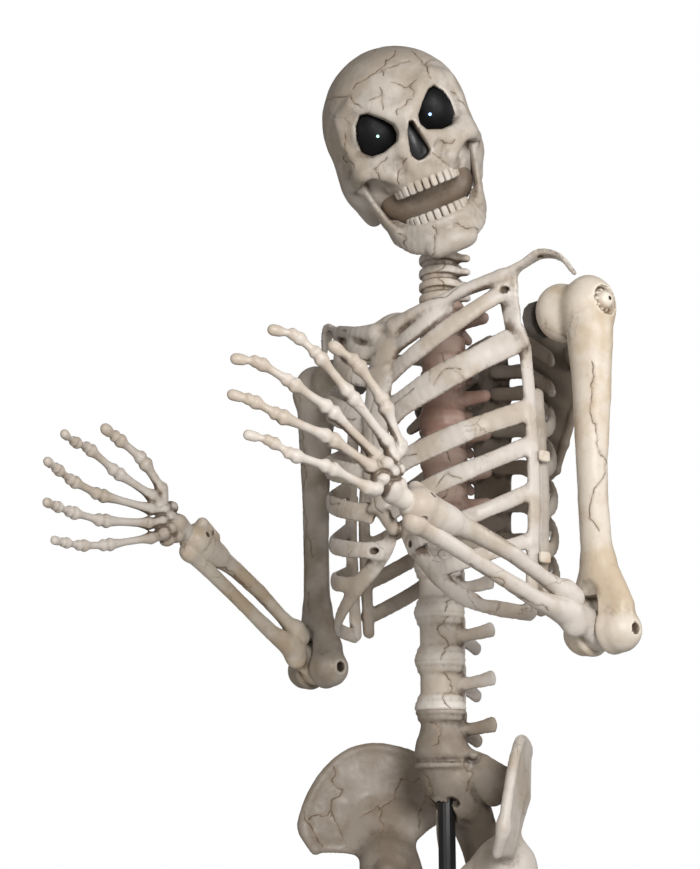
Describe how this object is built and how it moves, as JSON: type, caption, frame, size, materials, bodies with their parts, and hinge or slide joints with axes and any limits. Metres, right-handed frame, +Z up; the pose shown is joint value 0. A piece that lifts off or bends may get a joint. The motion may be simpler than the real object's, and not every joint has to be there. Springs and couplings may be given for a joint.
{
  "type": "poseable skeleton figure",
  "caption": "Giant standing skeleton of moulded bones on a steel pole and floor frame, with turning head, moving jaw, and ratchet shoulders, elbows and wrists.",
  "frame": {"origin": "on the floor under the support pole's axis, on the underside of the rear crossbar", "axes": "+Z up, the chest faces -Y, the figure's left side is +X; the face is turned to the figure's left"},
  "size_m": [0.94, 1.2601, 3.522],
  "materials": {
    "bone_plastic": "weathered bone paint with brown wash",
    "chest_spine_bone": "pinkish brown bone paint",
    "stand_steel": "black powder coat",
    "black_plastic": "moulded",
    "eye_screen": "glossy lens",
    "zinc_steel": "zinc plated",
    "cable_sleeve": "satin"
  },
  "bodies": {
    "stand_and_torso": {"base_rail_left": "stand_steel", "base_rail_right": "stand_steel", "base_crossbar_front": "stand_steel", "base_crossbar_rear": "stand_steel", "pole_socket": "stand_steel", "support_pole_lower": "stand_steel", "support_pole_upper": "stand_steel", "battery_box": "black_plastic", "eye_cable": "cable_sleeve", "foot_left": "bone_plastic", "foot_right": "bone_plastic", "shin_left": "bone_plastic", "shin_right": "bone_plastic", "femur_left": "bone_plastic", "femur_right": "bone_plastic", "hip_bone_left": "bone_plastic", "hip_bone_right": "bone_plastic", "spine_lower": "bone_plastic", "spine_upper": "chest_spine_bone", "neck": "bone_plastic", "head_swivel": "black_plastic", "rib_cage_front": "bone_plastic", "rib_cage_back": "bone_plastic", "rib_clip_upper_left": "bone_plastic", "rib_clip_upper_right": "bone_plastic", "rib_clip_lower_left": "bone_plastic", "rib_clip_lower_right": "bone_plastic", "scapula_left": "bone_plastic", "scapula_right": "bone_plastic", "shoulder_block_left": "black_plastic", "shoulder_block_right": "black_plastic", "shoulder_axle_left": "black_plastic", "shoulder_axle_right": "black_plastic"},
    "head": {"skull": "bone_plastic", "eye_left": "eye_screen", "eye_right": "eye_screen", "nose_insert": "black_plastic"},
    "lower_jaw": {"jaw": "bone_plastic"},
    "upper_arm_left_body": {"upper_arm_left": "bone_plastic", "elbow_pin_left": "zinc_steel"},
    "forearm_left": {"ulna_left": "bone_plastic", "radius_left": "bone_plastic", "wrist_pin_left": "black_plastic"},
    "hand_left": {"palm_left": "bone_plastic", "thumb_left": "bone_plastic", "index_left": "bone_plastic", "middle_left": "bone_plastic", "ring_left": "bone_plastic", "little_left": "bone_plastic"},
    "upper_arm_right_body": {"upper_arm_right": "bone_plastic", "elbow_pin_right": "zinc_steel"},
    "forearm_right": {"ulna_right": "bone_plastic", "radius_right": "bone_plastic", "wrist_pin_right": "black_plastic"},
    "hand_right": {"palm_right": "bone_plastic", "thumb_right": "bone_plastic", "index_right": "bone_plastic", "middle_right": "bone_plastic", "ring_right": "bone_plastic", "little_right": "bone_plastic"}
  },
  "joints": [
    {"name": "head_turn", "type": "hinge", "parent": "stand_and_torso", "child": "head", "pos_m": [0, 0, 3.155], "axis": [0, 0, 1], "range_deg": [-40, 30]},
    {"name": "jaw_hinge", "type": "hinge", "parent": "head", "child": "lower_jaw", "pos_m": [0.04782, -0.09938, 3.26196], "axis": [0.6377, 0.673, 0.3747], "range_deg": [-10, 4]},
    {"name": "shoulder_left", "type": "hinge", "parent": "stand_and_torso", "child": "upper_arm_left_body", "pos_m": [0.389, 0, 2.913], "axis": [1, 0, 0], "range_deg": [-90, 5]},
    {"name": "elbow_left", "type": "hinge", "parent": "upper_arm_left_body", "child": "forearm_left", "pos_m": [0.378, 0.022, 2.328], "axis": [1, 0, 0], "range_deg": [-6, 80]},
    {"name": "wrist_left", "type": "hinge", "parent": "forearm_left", "child": "hand_left", "pos_m": [0.385, -0.442, 2.505], "axis": [0.0141, -0.9342, 0.3564], "range_deg": [-40, 40]},
    {"name": "shoulder_right", "type": "hinge", "parent": "stand_and_torso", "child": "upper_arm_right_body", "pos_m": [-0.389, 0, 2.913], "axis": [1, 0, 0], "range_deg": [-90, 5]},
    {"name": "elbow_right", "type": "hinge", "parent": "upper_arm_right_body", "child": "forearm_right", "pos_m": [-0.392, 0.005, 2.316], "axis": [1, 0, 0], "range_deg": [-6, 50]},
    {"name": "wrist_right", "type": "hinge", "parent": "forearm_right", "child": "hand_right", "pos_m": [-0.285, -0.405, 2.547], "axis": [0.2217, -0.8496, 0.4787], "range_deg": [-40, 40]}
  ]
}
